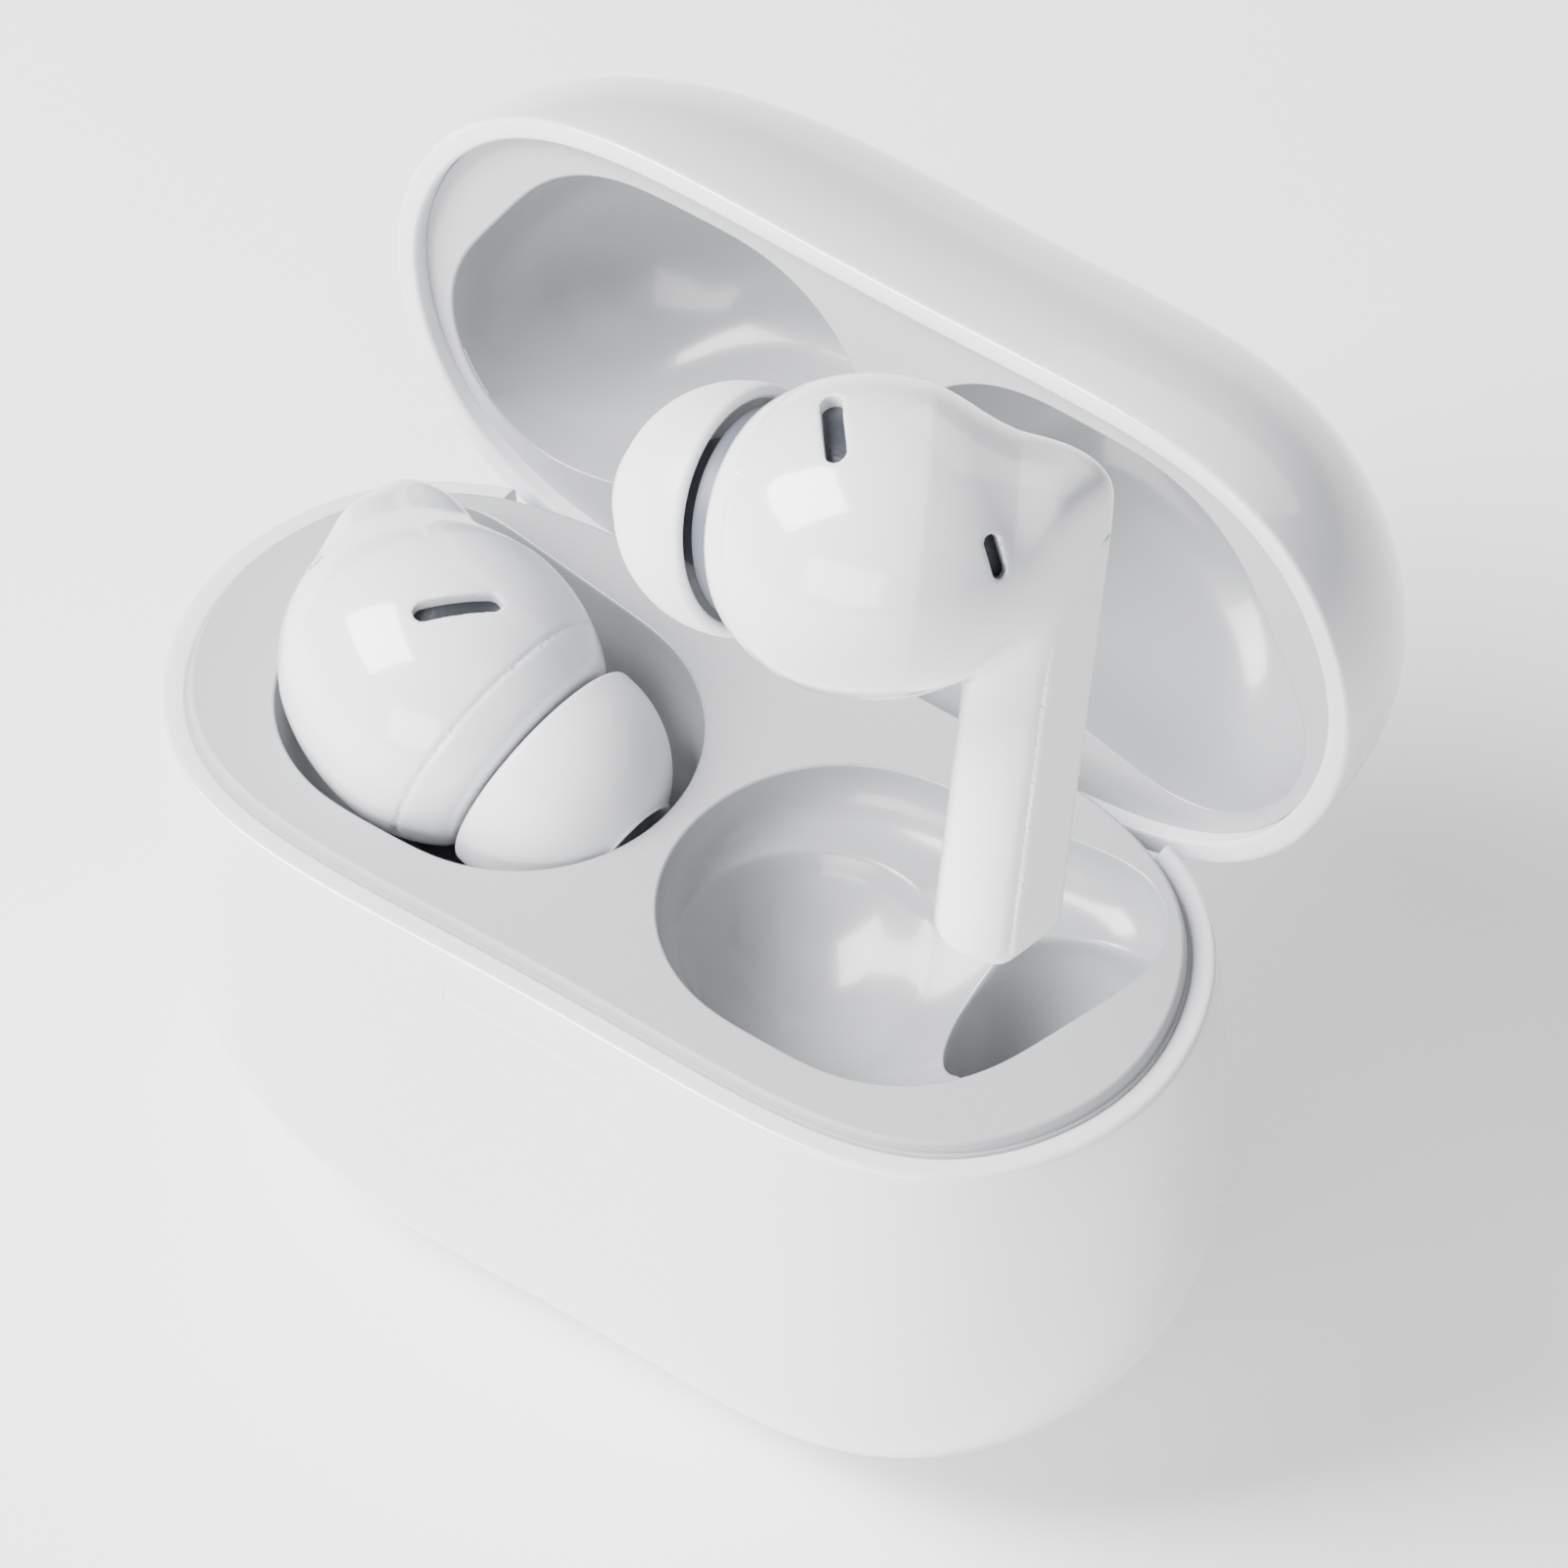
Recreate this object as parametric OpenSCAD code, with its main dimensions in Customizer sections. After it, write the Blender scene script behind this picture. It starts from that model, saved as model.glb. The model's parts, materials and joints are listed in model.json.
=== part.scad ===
// Wireless earbuds case: pebble base, hinged lid and two stemmed earbuds.
// Millimetres. X along the case, +Y to the hinge, +Z up, origin under the flat underside.

/* [Case] */
// Half of the case's length
half_len = 30.5; // [28:0.1:33]
// Half of the case's depth, before the outline's wave
half_dep = 15.36; // [14:0.05:17]
// Height of the rim over the underside
rim_z = 31.7; // [28:0.1:35]
// Height of the lid over the rim
lid_h = 18; // [16:0.1:20]
// Wall of both shells
wall = 1.3; // [1:0.05:2]
// How far the tray stands over the rim
tray_up = 0.84; // [0.3:0.02:1.5]
// Gap between the lid's edge and the rim
seam = 0.2; // [0.1:0.05:0.4]

/* [Hinge] */
// Distance of the hinge axis behind the middle
hinge_y = 12.59; // [11:0.05:14]
// Depth of the hinge axis under the rim
hinge_drop = 1.28; // [0.8:0.02:2]
// Opening angle of the lid as it rests
lid_open = 99; // [60:1:104]
// Radius of the hinge pin
pin_r = 0.75; // [0.5:0.05:1]

/* [Earbuds] */
// Radius of the earbud's head
head_r = 8; // [7:0.1:9]
// Radius of the stem
stem_r = 3; // [2.5:0.1:3.5]
// Length between the centres of the stem's round ends
stem_len = 25.6; // [20:0.1:30]
// Lean of the stem, degrees
stem_lean = 16.9; // [0:0.1:25]
// Radius of the ear tip
tip_r = 6.4; // [5:0.1:7.5]
// Depth of the ear tip's dome
tip_dome = 5.8; // [4:0.1:7]
// Play round a seated earbud
play = 0.45; // [0.3:0.05:0.8]
// Where the lifted earbud is held, from its seat
float_at = [5.4, -6.8, 39.9];

/* [Quality] */
// Points round the case's outline
outline_n = 48; // [32:4:72]
// Segments of a round part
$fn = 48; // [24:4:96]

/* [Hidden] */
tiny = 0.01;
hinge_z = rim_z - hinge_drop;
rim_kx = 0.984;
rim_ky = 0.993;
belly_z = -8.71;
belly_h = 23.31;
head = [13.6, -1.2, 3.4];
tip_at = [7.8, -1.9, 0];
nozzle_tilt = 106.9;
nozzle_turn = -175.1;
stem_foot = [22.1, -2.6, -20.2];
stem_top = [22.1, -2.6 + stem_len * sin(stem_lean), -20.2 + stem_len * cos(stem_lean)];
neck_at = [14.4, -0.6, 3.5];
neck_h = 8.4;
neck_r = 6.1;
neck_end_r = 2.6;
shell_t = 1;
cup_t = 0.8;
face_at = -0.9;
well_floor = -3;
mouth_z = 1.2;
mouth_t = 1.2;
bar_len = 10;
bar_h = 0.8;
bar_z = -3.2;
port_w = 8.94;
port_h = 3.26;
port_len = 7.3;
port_z = -31.3;
port_gap = 0.15;
board_z = -23.9;
board_t = 0.8;
battery_z = -20.5;
battery_h = 10;
button_r = 1.8;
button_z = -14;
button_face = 14.75;
button_gap = 0.2;
contact_x = 0.75;
contact_pin_r = 0.4;
contact_top = -23.6;
knuckle_r = 1.35;
knuckle_bore = pin_r + 0.05;
notch_x = 13.9;
notch_y = 11;
cover_y = 13.15;
cover_z = 0.12;
arm_y = 0.75;
arm_t = 0.33;

// The case's outline as a wave round the middle, longest radius 1
function outline_x(t) = (cos(t) - 0.059 * cos(3 * t) + 0.009 * sin(2 * t)) / 0.941;
function outline_y(t) = sin(t) + 0.029 * sin(3 * t) - 0.038 * sin(5 * t) - 0.037 * cos(2 * t);
function super(u, m) = pow(max(0, 1 - pow(abs(u), m)), 1 / m);

// Scales of the base and the lid at a height from the rim
function base_kx(z) = super((z - belly_z) / belly_h, 3.08);
function base_ky(z) = super((z - belly_z) / belly_h, 3.72);
function lid_kx(z) = rim_kx * super(z / lid_h, 2.38);
function lid_ky(z) = rim_ky * super(z / lid_h, 1.85);
function base_ring(z, inset) = [z, base_kx(z) - inset / half_len, base_ky(z) - inset / half_dep];
function lid_ring(z, inset) = [z, lid_kx(z) - inset / half_len, lid_ky(z) - inset / half_dep];

// A solid through rings of the outline, each [height, x scale, y scale]
module stack(rings) {
    n = outline_n;
    points = [for (r = rings) for (i = [0:n - 1])
        [half_len * r[1] * outline_x(360 * i / n), half_dep * r[2] * outline_y(360 * i / n), r[0]]];
    sides = [for (k = [0:len(rings) - 2]) for (i = [0:n - 1]) let (j = (i + 1) % n)
        each [[k * n + i, (k + 1) * n + i, (k + 1) * n + j], [k * n + i, (k + 1) * n + j, k * n + j]]];
    top = (len(rings) - 1) * n;
    polyhedron(points, concat([[for (i = [0:n - 1]) i]], sides, [[for (i = [0:n - 1]) top + n - 1 - i]]));
}

module at_rim() {
    translate([0, 0, rim_z]) children();
}

// The closed lid's own place, swung open about the hinge
module in_lid() {
    translate([0, hinge_y, hinge_z]) rotate([-lid_open, 0, 0]) translate([0, -hinge_y, hinge_drop])
        children();
}

// Both hands of a piece: side -1 is the left
module hand(side) {
    mirror([side < 0 ? 1 : 0, 0, 0]) children();
}

// An earbud's place: the left one is seated, the right one is lifted out
module in_bud(side) {
    translate(side > 0 ? float_at : [0, 0, 0]) at_rim() hand(side) children();
}

module along_nozzle(at) {
    translate(at) rotate([0, nozzle_tilt, nozzle_turn]) children();
}

module along_stem() {
    translate(stem_foot) rotate([-stem_lean, 0, 0]) children();
}

module disc(r, z0, z1) {
    translate([0, 0, z0]) cylinder(r = r, h = z1 - z0);
}

module block(x0, x1, y0, y1, z0, z1) {
    translate([x0, y0, z0]) cube([x1 - x0, y1 - y0, z1 - z0]);
}

module rod_x(r, x0, x1) {
    translate([x0, 0, 0]) rotate([0, 90, 0]) cylinder(r = r, h = x1 - x0);
}

module at_hinge() {
    translate([0, hinge_y, hinge_z]) children();
}

module base_outer() {
    steps = 11;
    stack([for (k = [0:steps]) base_ring(-rim_z * cos(90 * k / steps), 0)]);
}

module base_inner() {
    floor_z = -rim_z + wall;
    steps = 7;
    stack([for (k = [0:steps]) base_ring(floor_z * cos(90 * k / steps), wall)]);
    stack([base_ring(-tiny, wall), base_ring(1, wall)]);
}

module lid_solid(inset, top_inset, z0) {
    steps = 9;
    top = lid_h * 0.995 - top_inset;
    stack([for (k = [0:steps]) let (z = z0 + (top - z0) * sin(90 * k / steps))
        let (u = z * lid_h / (lid_h - top_inset))
        [z, lid_kx(u) - inset / half_len * (1 - 0.6 * z / lid_h),
            lid_ky(u) - inset / half_dep * (1 - 0.6 * z / lid_h)]]);
}

// The space the lid's back edge swings through
module hinge_sweep() {
    at_hinge() rotate([0, 90, 0]) rotate_extrude()
        polygon([[0, -20.8], [1.9, -20.8], [3.4, -15], [3.9, -12], [3.9, 12], [3.4, 15],
            [1.9, 20.8], [0, 20.8]]);
}

module slot_shape(w, h) {
    hull() for (s = [-1, 1]) translate([s * (w - h) / 2, 0]) circle(d = h, $fn = 32);
}

module base_shell() {
    color("white") difference() {
        at_rim() difference() {
            base_outer();
            base_inner();
        }
        hinge_sweep();
        translate([0, 0, -1]) linear_extrude(4) slot_shape(port_w + 0.3, port_h + 0.3);
        at_rim() block(-bar_len / 2, bar_len / 2, -20, -8, bar_z - bar_h / 2, bar_z + bar_h / 2);
        at_rim() translate([0, 8, button_z]) rotate([-90, 0, 0])
            cylinder(r = button_r + button_gap, h = 10);
    }
}

module well_outline(grow) {
    hull() {
        translate([10, -0.2]) circle(r = 9.3 + grow);
        translate([14.5, -0.5]) circle(r = 9 + grow);
        translate([20.4, 5.5]) circle(r = 4.9 + grow);
    }
}

// The room of one earbud in the tray
module well(grow) {
    r = play + grow;
    floor_z = well_floor - grow;
    translate([0, 0, floor_z]) linear_extrude(tray_up + 1 - floor_z) well_outline(grow);
    intersection() {
        union() {
            translate(head) sphere(r = head_r + r);
            along_nozzle(tip_at) disc(tip_r + r, -3.4, 1.5);
            along_nozzle(tip_at) translate([0, 0, 1]) sphere(r = tip_r + r - 0.6);
        }
        block(0.5, 30, -20, 20, -20, 0);
    }
    along_stem() sphere(r = stem_r + r);
    along_stem() disc(stem_r + r, 0, stem_len - 3 - grow);
}

// The base's inner side, drawn in for the wells' cups
module cup_room(inset) {
    floor_z = -rim_z + wall + 1;
    steps = 7;
    stack([for (k = [0:steps]) base_ring(floor_z * cos(90 * k / steps), inset)]);
    stack([base_ring(-tiny, inset), base_ring(tray_up - 0.3, inset)]);
}

module inner_tray() {
    edge = wall + 0.08;
    color("gainsboro") difference() {
        at_rim() difference() {
            union() {
                stack([base_ring(-1.2, edge + 0.12), base_ring(tray_up - 0.2, edge),
                    base_ring(tray_up, edge + 0.2)]);
                intersection() {
                    for (s = [-1, 1]) hand(s) well(cup_t);
                    cup_room(edge + 0.12);
                }
            }
            for (s = [-1, 1]) hand(s) well(0);
            for (s = [-1, 1]) hand(s) for (c = [-1, 1])
                translate([stem_foot[0] + c * contact_x, stem_foot[1], -26]) cylinder(r = 0.5, h = 5);
            block(-notch_x, notch_x, notch_y, 20, -5, cover_z);
            block(-notch_x, notch_x, cover_y, 20, -5, 5);
        }
    }
}

module status_light_bar() {
    slack = 0.03;
    color("snow") at_rim() intersection() {
        difference() {
            base_outer();
            base_inner();
        }
        block(-bar_len / 2 + slack, bar_len / 2 - slack, -20, -8,
            bar_z - bar_h / 2 + slack, bar_z + bar_h / 2 - slack);
    }
}

module front_board() {
    color("darkgreen") at_rim() block(-5, 5, -11.5, -10.9, -6, -2.2);
}

module status_led() {
    color("ivory") at_rim() block(-0.8, 0.8, -12.1, -11.5, bar_z - 0.4, bar_z + 0.4);
}

module hall_sensor() {
    color("dimgray") at_rim() block(-0.8, 0.8, -10.9, -10.2, -5.4, -4);
}

module usb_c_shell() {
    color("silver") at_rim() translate([0, 0, port_z]) difference() {
        linear_extrude(port_len) slot_shape(port_w, port_h);
        translate([0, 0, -1]) linear_extrude(port_len) slot_shape(port_w - 0.6, port_h - 0.6);
    }
}

module usb_c_tongue() {
    color("black") at_rim() block(-3.3, 3.3, -0.35, 0.35, port_z + 0.9, port_z + port_len - 1);
}

module main_board() {
    color("darkgreen") at_rim() translate([0, 0, board_z + 0.02]) linear_extrude(board_t)
        square([30, 15], center = true);
}

module case_battery() {
    color("slategray") at_rim() translate([0, 0, battery_z]) linear_extrude(battery_h)
        slot_shape(30, 16);
}

module charging_flex() {
    color("peru") at_rim() for (s = [-1, 1]) hand(s)
        block(11, 21, -4, -2.6 - 1, -24.38, -24.2);
}

module button_board() {
    color("darkgreen") at_rim() block(-4, 4, 10.2, 10.9, button_z - 3, button_z + 3);
}

module dome_switch() {
    color("silver") at_rim() translate([0, 10.92, button_z]) rotate([-90, 0, 0])
        cylinder(r1 = 1.9, r2 = 1.2, h = 0.8);
}

module pairing_button() {
    color("white") at_rim() translate([0, 0, button_z]) rotate([-90, 0, 0]) {
        disc(button_r, 12.1, button_face);
        disc(2.6, 12.1, 12.9);
    }
}

module hinge_pin() {
    color("silver") at_hinge() rod_x(pin_r, -13.4, 13.4);
}

module hinge_bracket() {
    color("darkgray") at_hinge() difference() {
        union() {
            for (s = [-1, 1]) hand(s) {
                rod_x(knuckle_r, 4.9, 7.9);
                block(4.9, 7.9, -2.5, -0.8, -0.7, 0.04);
            }
            block(-7.9, 7.9, -2.84, -2.4, -3.6, 0.04);
        }
        rod_x(pin_r + 0.01, -20, 20);
    }
}

module hinge_springs() {
    wire = 0.2;
    color("silver") at_hinge() for (s = [-1, 1]) hand(s) for (k = [0:3])
        translate([11.5 + 0.45 * k, 0, 0]) rotate([0, 90, 0]) rotate_extrude()
            translate([pin_r + wire + 0.04, 0]) circle(r = wire, $fn = 16);
}

module latch_magnets() {
    color("gray") at_rim() for (s = [-1, 1]) hand(s) block(6.5, 11.5, -11.8, -10.7, -4, -1.3);
}

module pin_block(side) {
    color("black") at_rim() hand(side) difference() {
        block(20.5, 23.7, -3.4, -1.2, -25.9, -24.55);
        for (c = [-1, 1]) translate([stem_foot[0] + c * contact_x, stem_foot[1], -25.5])
            cylinder(r = contact_pin_r + 0.06, h = 3);
    }
}

module charging_pins(side) {
    color("gold") at_rim() hand(side) for (c = [-1, 1])
        translate([stem_foot[0] + c * contact_x, stem_foot[1], -24.9])
            cylinder(r = contact_pin_r, h = contact_top + 24.9);
}

module lid_shell() {
    color("white") in_lid() difference() {
        lid_solid(0, 0, seam);
        lid_solid(wall, wall, seam - 0.1);
        block(-notch_x, notch_x, notch_y, 13.7, -1, mouth_z + 0.1);
    }
}

module cavity_outline(grow) {
    hull() {
        translate([9.7, -1.7]) circle(r = 8.4 + grow);
        translate([15, -1.6]) circle(r = 8.4 + grow);
        translate([19.4, 2.9]) circle(r = 7.2 + grow);
    }
}

module lid_liner() {
    lip = 0.08;
    color("gainsboro") in_lid() difference() {
        union() {
            intersection() {
                lid_solid(wall + lip, wall + lip, mouth_z);
                block(-40, 40, -20, 20, mouth_z, mouth_z + mouth_t);
            }
            intersection() {
                lid_solid(wall + lip, wall + lip, mouth_z);
                for (s = [-1, 1]) hand(s) linear_extrude(20) cavity_outline(cup_t);
            }
        }
        intersection() {
            lid_solid(wall + lip + cup_t, wall + lip + cup_t, mouth_z - 0.5);
            for (s = [-1, 1]) hand(s) linear_extrude(20) cavity_outline(0);
        }
    }
}

module lid_hinge_arm() {
    color("silver") in_lid() translate([0, hinge_y, -hinge_drop]) difference() {
        union() {
            rod_x(knuckle_r, -4.6, 4.6);
            block(-4.6, 4.6, arm_y, arm_y + arm_t, 0, hinge_drop + mouth_z - 0.02);
            for (s = [-1, 1]) hand(s) {
                rod_x(knuckle_r, 8.2, 11);
                block(8.2, 11, arm_y, arm_y + arm_t, 0, hinge_drop + mouth_z - 0.02);
            }
        }
        rod_x(knuckle_bore, -20, 20);
    }
}

module lid_magnets() {
    color("gray") in_lid() for (s = [-1, 1]) hand(s)
        block(6.5, 11.5, -12, -11.25, mouth_z + mouth_t + 0.02, mouth_z + mouth_t + 1.1);
}

module bud_outer(inset) {
    translate(head) sphere(r = head_r - inset);
    along_neck() cylinder(r1 = neck_r - inset, r2 = neck_end_r - inset, h = neck_h);
    along_stem() stem_rod(stem_r - inset);
}

// The stem with its softened ends, as one turned piece
module stem_rod(r) {
    rotate_extrude() polygon([[0, -r], [0.5 * r, -r], [0.86 * r, -0.75 * r], [r, -0.35 * r],
        [r, stem_len + 0.35 * r], [0.86 * r, stem_len + 0.75 * r], [0.5 * r, stem_len + r],
        [0, stem_len + r]]);
}

module along_neck() {
    d = stem_top - neck_at;
    translate(neck_at) rotate([0, acos(d[2] / norm(d)), atan2(d[1], d[0])]) children();
}

module cap_space(t) {
    along_stem() block(stem_r - 0.75, stem_r - 0.75 + t, -2, 2, 0.5, stem_len - 3);
}

module contact_spots(r, h) {
    for (c = [-1, 1]) translate([stem_foot[0] + c * contact_x, stem_foot[1],
        stem_foot[2] - stem_r]) cylinder(r = r, h = h);
}

module vent_space(grow) {
    translate([13.2, -2.6, head[2] + head_r - 1.6]) rotate([0, 0, -25]) linear_extrude(4)
        slot_shape(5.6 + grow, 1.6 + grow);
}

module mic_space(grow) {
    along_stem() translate([-0.6, -stem_r - 1, stem_len - 5]) rotate([-90, 0, 0]) linear_extrude(2)
        slot_shape(2.2 + grow, 1 + grow);
}

module bud_shell(side) {
    color("white") in_bud(side) difference() {
        union() {
            difference() {
                bud_outer(0);
                along_nozzle(tip_at) disc(9, face_at, 9);
                difference() {
                    bud_outer(shell_t);
                    along_nozzle(tip_at) disc(9, face_at - shell_t, 9);
                }
            }
            along_nozzle(tip_at) disc(2.4, face_at - shell_t - 0.2, 4.6);
        }
        along_nozzle(tip_at) disc(1.7, -8, 6);
        cap_space(3);
        vent_space(0);
        mic_space(0);
        contact_spots(0.5, 1.4);
    }
}

module bud_stem_cap(side) {
    color("white") in_bud(side) intersection() {
        bud_outer(0);
        along_stem() block(stem_r - 0.72, stem_r - 0.3, -1.95, 1.95, 0.55, stem_len - 3.05);
    }
}

module bud_ear_tip(side) {
    color("whitesmoke") in_bud(side) along_nozzle(tip_at) rotate_extrude() polygon(concat(
        [[tip_r - 0.25, -0.6]],
        [for (a = [0:9:63]) [tip_r * cos(a), tip_dome * sin(a) / sin(63) * 0.97]],
        [[2.5, tip_dome - 0.3], [2.5, -0.8], [3.3, -0.8], [3.3, 3.6]],
        [for (a = [45:-9:0]) [(tip_r - 0.6) * cos(a), (tip_dome - 0.7) * sin(a)]],
        [[tip_r - 0.6, -0.6]]));
}

module bud_nozzle_grille(side) {
    color("dimgray") in_bud(side) along_nozzle(tip_at) disc(1.66, 4.1, 4.4);
}

module bud_vent_mesh(side) {
    color("dimgray") in_bud(side) intersection() {
        vent_space(-0.06);
        translate(head) difference() {
            sphere(r = head_r - 0.35);
            sphere(r = head_r - 0.85);
        }
    }
}

module bud_mic_mesh(side) {
    color("dimgray") in_bud(side) intersection() {
        mic_space(-0.06);
        along_stem() difference() {
            disc(stem_r - 0.3, 15, stem_len);
            disc(stem_r - 0.8, 14, stem_len + 1);
        }
    }
}

module bud_driver(side) {
    color("silver") in_bud(side) along_nozzle(head) {
        disc(4.6, 1.2, 2.9);
        disc(3, 2.9, 3.4);
    }
}

module bud_battery(side) {
    color("slategray") in_bud(side) along_nozzle(head) disc(4.8, -4, 0.5);
}

module bud_board(side) {
    color("darkgreen") in_bud(side) along_nozzle(head) disc(5, 0.6, 1.1);
}

module bud_contacts(side) {
    color("gold") in_bud(side) intersection() {
        contact_spots(0.46, 1.3);
        bud_outer(0);
    }
}

module bud_magnet(side) {
    color("gray") in_bud(side) along_stem() disc(1.7, 3, 8);
}

base_shell();
inner_tray();
status_light_bar();
front_board();
status_led();
hall_sensor();
usb_c_shell();
usb_c_tongue();
main_board();
case_battery();
charging_flex();
button_board();
dome_switch();
pairing_button();
hinge_pin();
hinge_bracket();
hinge_springs();
latch_magnets();
pin_block(-1);  // pin_block_left
pin_block(1);  // pin_block_right
charging_pins(-1);  // charging_pins_left
charging_pins(1);  // charging_pins_right
lid_shell();
lid_liner();
lid_hinge_arm();
lid_magnets();
bud_shell(-1);  // bud_left_shell
bud_stem_cap(-1);  // bud_left_stem_cap
bud_ear_tip(-1);  // bud_left_ear_tip
bud_nozzle_grille(-1);  // bud_left_nozzle_grille
bud_vent_mesh(-1);  // bud_left_vent_mesh
bud_mic_mesh(-1);  // bud_left_mic_mesh
bud_driver(-1);  // bud_left_driver
bud_battery(-1);  // bud_left_battery
bud_board(-1);  // bud_left_board
bud_contacts(-1);  // bud_left_contacts
bud_magnet(-1);  // bud_left_magnet
bud_shell(1);  // bud_right_shell
bud_stem_cap(1);  // bud_right_stem_cap
bud_ear_tip(1);  // bud_right_ear_tip
bud_nozzle_grille(1);  // bud_right_nozzle_grille
bud_vent_mesh(1);  // bud_right_vent_mesh
bud_mic_mesh(1);  // bud_right_mic_mesh
bud_driver(1);  // bud_right_driver
bud_battery(1);  // bud_right_battery
bud_board(1);  // bud_right_board
bud_contacts(1);  // bud_right_contacts
bud_magnet(1);  // bud_right_magnet
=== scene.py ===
"""Looks of the wireless earbuds case: smooth meshes, materials, studio light and the camera."""

import json

import bmesh
import bpy
import numpy as np
from mathutils import Matrix, Vector


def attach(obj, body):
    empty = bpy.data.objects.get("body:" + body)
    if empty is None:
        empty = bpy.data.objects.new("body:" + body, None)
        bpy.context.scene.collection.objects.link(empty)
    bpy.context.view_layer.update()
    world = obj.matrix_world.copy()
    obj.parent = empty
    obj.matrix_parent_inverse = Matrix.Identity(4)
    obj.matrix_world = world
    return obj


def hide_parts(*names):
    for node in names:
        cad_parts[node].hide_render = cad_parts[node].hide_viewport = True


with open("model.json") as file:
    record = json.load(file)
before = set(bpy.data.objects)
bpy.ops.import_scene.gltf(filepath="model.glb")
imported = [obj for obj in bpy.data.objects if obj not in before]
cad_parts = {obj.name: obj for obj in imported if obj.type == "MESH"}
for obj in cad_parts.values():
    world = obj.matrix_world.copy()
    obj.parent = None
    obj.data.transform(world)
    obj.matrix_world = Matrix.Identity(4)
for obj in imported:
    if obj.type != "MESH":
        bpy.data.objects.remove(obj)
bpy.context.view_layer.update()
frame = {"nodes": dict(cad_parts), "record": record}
nodes = frame["nodes"]

MM = 0.001
TAU = 2 * np.pi

# Sizes of the case, mm, the same as the CAD model's
HALF_LEN, HALF_DEP, RIM_Z, LID_H = 30.5, 15.36, 31.7, 18.0
HINGE_Y, HINGE_DROP, LID_OPEN = 12.59, 1.28, 99.0
TRAY_UP, WALL, SEAM, MOUTH_Z = 0.84, 1.3, 0.2, 1.2
NOTCH_X, NOTCH_Y, COVER_Y = 13.9, 11.0, 13.15
BELLY_Z, BELLY_H = -8.71, 23.31
RIM_KX, RIM_KY = 0.984, 0.993
BASE_POWER, LID_POWER = (3.08, 3.72), (2.38, 1.85)
PORT_W, PORT_H = 9.24, 3.56
BAR_HALF, BAR_LOW, BAR_HIGH = 5.0, -3.6, -2.8
BUTTON_R, BUTTON_Y, BUTTON_Z = 2.0, 8.0, -14.0
# The earbud: head, ear tip and stem, set for the visible shape and a little off the CAD's
HEAD, HEAD_R, HEAD_TAIL = np.array([13.6, -1.3, 2.6]), 7.9, 9.6
TIP_AT, TIP_R, TIP_DOME = np.array([7.6, -1.3, 0.3]), 6.3, 5.7
NOZZLE = np.array([-0.952, -0.081, -0.290]) / np.linalg.norm([0.952, 0.081, 0.290])
STEM_FOOT, STEM_R, STEM_LEN = np.array([21.9, -2.6, -20.0]), 3.15, 25.6
LEAN = np.radians(15.5)
SIDE_LEAN = -0.035
STEM_AXIS = np.array([SIDE_LEAN, np.sin(LEAN), np.cos(LEAN)]) / np.hypot(1, SIDE_LEAN)
FACE_AT = -0.9
STEM_FLAT = 2.35
SLOT_FLOOR, SLOT_RISE = -24.2, 11
NECK_A, NECK_B, NECK_R, NECK_TAPER = np.array([16.2, 0.0, 3.4]), np.array([19.9, 2.4, 2.9]), 5.9, 2.3
TIP_GAP = (0.0, 1.3)
STEM_TOP = STEM_FOOT + STEM_LEN * STEM_AXIS
FLOAT_AT = np.array([5.4, -6.8, 39.9])
AROUND = 256


# ---------------------------------------------------------------- shapes
def outline(count=AROUND):
    """The case's outline as unit x and y waves."""
    t = np.linspace(0, TAU, count, endpoint=False)
    x = (np.cos(t) - 0.059 * np.cos(3 * t) + 0.009 * np.sin(2 * t)) / 0.941
    y = np.sin(t) + 0.029 * np.sin(3 * t) - 0.038 * np.sin(5 * t) - 0.037 * np.cos(2 * t)
    return x, y


def bulge(u, power):
    """A rounded profile that falls from 1 to 0 as u runs to 1."""
    return np.maximum(0, 1 - np.abs(u) ** power) ** (1 / power)


def base_ring(z, inset=0.0):
    """The base's ring at a height under the rim, moved inwards."""
    x, y = outline()
    u = (z - BELLY_Z) / BELLY_H
    kx, ky = bulge(u, BASE_POWER[0]), bulge(u, BASE_POWER[1])
    return inward(np.column_stack([HALF_LEN * kx * x, HALF_DEP * ky * y]), z, inset)


def lid_ring(z, inset=0.0, drop=0.0):
    """The lid's ring; drop lowers the whole dome for the inner side."""
    x, y = outline()
    u = z / (LID_H - drop)
    kx, ky = RIM_KX * bulge(u, LID_POWER[0]), RIM_KY * bulge(u, LID_POWER[1])
    return inward(np.column_stack([HALF_LEN * kx * x, HALF_DEP * ky * y]), z, inset)


def inward(p, z, inset):
    """Moves a flat loop inwards along its own normals and sets its height."""
    if inset:
        along = np.roll(p, -1, 0) - np.roll(p, 1, 0)
        n = np.column_stack([-along[:, 1], along[:, 0]])
        n /= np.linalg.norm(n, axis=1)[:, None] + 1e-9
        p = p + n * inset
    return np.column_stack([p, np.full(len(p), float(z))])


def loft(rings, close_start=False, close_end=False):
    """Vertices and quads through a list of equal loops."""
    n = len(rings[0])
    verts = np.concatenate(rings)
    i = np.arange(n)
    j = (i + 1) % n
    faces = []
    for k in range(len(rings) - 1):
        faces += np.column_stack([k * n + i, k * n + j, (k + 1) * n + j, (k + 1) * n + i]).tolist()
    if close_start:
        faces.append(list(range(n))[::-1])
    if close_end:
        faces.append([(len(rings) - 1) * n + v for v in range(n)])
    return verts, faces


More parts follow.
